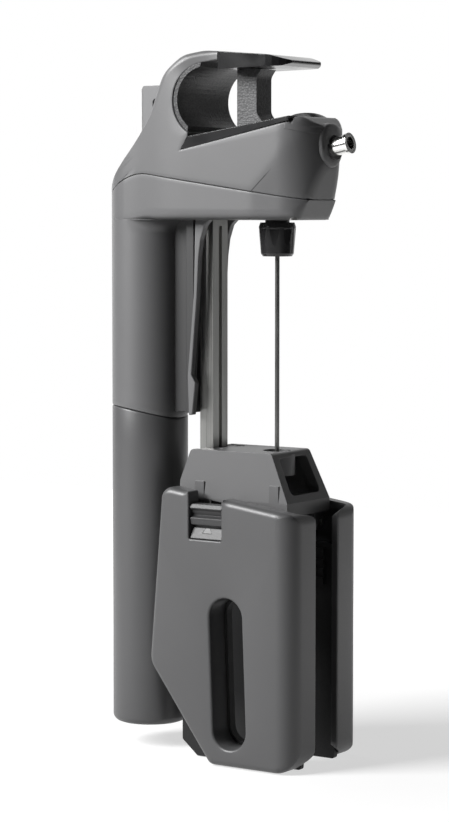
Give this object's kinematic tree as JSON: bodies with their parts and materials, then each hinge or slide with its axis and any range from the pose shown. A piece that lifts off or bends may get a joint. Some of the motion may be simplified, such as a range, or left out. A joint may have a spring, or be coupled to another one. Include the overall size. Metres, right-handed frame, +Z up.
{
  "type": "needle wine preservation dispenser",
  "caption": "Hand-held needle wine dispenser with bottle-neck clamp jaws, guide rail, hollow needle, gas capsule cup, finger handle, trigger and tilted pouring spout.",
  "frame": {"origin": "centre of the bounding box at the base of the jaws, on the surface that the device stands on", "axes": "+Z up along the needle, +X towards the spout, XZ the plane of symmetry"},
  "size_m": [0.092, 0.043, 0.2328],
  "materials": {
    "housing_grey": "satin, fine sprayed texture",
    "cup_grey": "satin, fine sprayed texture",
    "jaw_grey": "satin spray-coated die casting",
    "cap_grey": "satin spray-coated zinc die casting",
    "latch_grey": "satin",
    "mark_light": "pad-printed light grey arrow",
    "black_rubber": "matt moulded rubber",
    "grip_rubber": "fine-grained soft overmould",
    "white_silicone": "moulded silicone",
    "black_gloss": "glossy moulded plastic",
    "plate_black": "semi-gloss moulded plastic",
    "black_plastic": "plain moulded low-friction plastic",
    "light_pad": "satin light grey",
    "trigger_grey": "satin",
    "bright_steel": "drawn and brushed along its length",
    "needle_steel": "drawn, fine-polished stainless tube",
    "spout_steel": "polished stainless tube",
    "spring_steel": "plain drawn spring wire",
    "capsule_steel": "zinc-plated deep-drawn steel",
    "cast_frame": "as-cast, unpainted",
    "machined_alloy": "turned, natural",
    "machined_brass": "milled",
    "tube_white": "extruded pressure tube"
  },
  "bodies": {
    "clamp": {"clamp_cap": "cap_grey", "needle_guide": "black_plastic", "rail_shoe": "black_plastic", "jaw_pins": "bright_steel", "jaw_springs": "spring_steel", "cap_screws": "bright_steel"},
    "near_jaw": {"near_jaw": "jaw_grey", "near_jaw_liner": "black_rubber", "near_neck_pad": "black_rubber"},
    "far_jaw": {"far_jaw": "jaw_grey", "far_jaw_liner": "black_rubber", "far_neck_pad": "black_rubber"},
    "near_latch": {"near_latch": "latch_grey", "near_latch_mark": "mark_light"},
    "far_latch": {"far_latch": "latch_grey", "far_latch_mark": "mark_light"},
    "body": {"rail": "bright_steel", "rail_stop": "bright_steel", "rail_screws": "bright_steel", "lower_housing": "housing_grey", "upper_housing": "housing_grey", "nose_cap": "housing_grey", "spout_collar": "housing_grey", "housing_screws": "bright_steel", "top_plate": "plate_black", "grip_lining": "grip_rubber", "grip_post": "grip_rubber", "saddle_trim": "black_gloss", "arm_frame": "cast_frame", "manifold": "machined_brass", "spout_boot": "black_rubber", "spout_tube": "spout_steel", "wine_check_valve": "white_silicone", "gas_tube": "tube_white", "trigger_pin": "bright_steel", "trigger_spring": "spring_steel", "valve_body": "machined_brass", "valve_spring": "spring_steel", "regulator_body": "machined_alloy", "regulator_cap": "machined_alloy", "piston_spring": "spring_steel", "piercing_pin": "bright_steel", "capsule_seal": "black_rubber"},
    "needle_set": {"needle": "needle_steel", "needle_seals": "black_rubber"},
    "nut": {"needle_nut": "black_gloss"},
    "trigger": {"trigger": "trigger_grey", "trigger_pad": "light_pad"},
    "stem": {"valve_stem": "bright_steel"},
    "piston": {"regulator_piston": "bright_steel"},
    "capsule": {"gas_capsule": "capsule_steel", "capsule_pad": "black_rubber"},
    "cup": {"capsule_cup": "cup_grey"}
  },
  "joints": [
    {"name": "near_jaw_swing", "type": "hinge", "parent": "clamp", "child": "near_jaw", "pos_m": [0.01, -0.013, 0.078], "axis": [-1, 0, 0], "range_deg": [0, 8], "stiffness_Nm_per_rad": 1, "springref_deg": -17.19},
    {"name": "far_jaw_swing", "type": "hinge", "parent": "clamp", "child": "far_jaw", "pos_m": [0.01, 0.013, 0.078], "axis": [1, 0, 0], "range_deg": [0, 8], "stiffness_Nm_per_rad": 1, "springref_deg": -17.19},
    {"name": "near_latch_slide", "type": "slide", "parent": "near_jaw", "child": "near_latch", "axis": [0, 0, 1], "range_m": [0, 0.003]},
    {"name": "far_latch_slide", "type": "slide", "parent": "far_jaw", "child": "far_latch", "axis": [0, 0, 1], "range_m": [0, 0.003]},
    {"name": "body_slide", "type": "slide", "parent": "clamp", "child": "body", "axis": [0, 0, 1], "range_m": [-0.059, 0]},
    {"name": "needle_slide", "type": "slide", "parent": "body", "child": "needle_set", "axis": [0, 0, 1], "range_m": [-0.003, 0]},
    {"name": "nut_turn", "type": "hinge", "parent": "needle_set", "child": "nut", "pos_m": [0.01778, 0, 0.1701], "axis": [0, 0, 1], "range_deg": [0, 1080]},
    {"name": "trigger_swing", "type": "hinge", "parent": "body", "child": "trigger", "pos_m": [-0.02772, 0, 0.2029], "axis": [0, 1, 0], "range_deg": [0, 5], "deforming": ["trigger_spring"]},
    {"name": "stem_slide", "type": "slide", "parent": "body", "child": "stem", "axis": [1, 0, 0], "range_m": [0, 0.00061], "stiffness_N_per_m": 1500, "springref_m": -0.001, "deforming": ["valve_spring"]},
    {"name": "piston_slide", "type": "slide", "parent": "body", "child": "piston", "axis": [0, 0, 1], "range_m": [0, 0.0008], "stiffness_N_per_m": 5000, "springref_m": -0.0005, "deforming": ["piston_spring"]},
    {"name": "capsule_slide", "type": "slide", "parent": "body", "child": "capsule", "axis": [0, 0, 1], "range_m": [-0.006, 0]},
    {"name": "cup_turn", "type": "hinge", "parent": "capsule", "child": "cup", "pos_m": [-0.03322, 0, 0.06], "axis": [0, 0, 1], "range_deg": [0, 90]}
  ],
  "couplings": [
    {"joint": "nut_turn", "follows": "needle_slide", "rad_per_m": -6283.2},
    {"joint": "trigger_swing", "follows": "stem_slide", "rad_per_m": 142.86},
    {"joint": "cup_turn", "follows": "capsule_slide", "rad_per_m": -261.8}
  ]
}
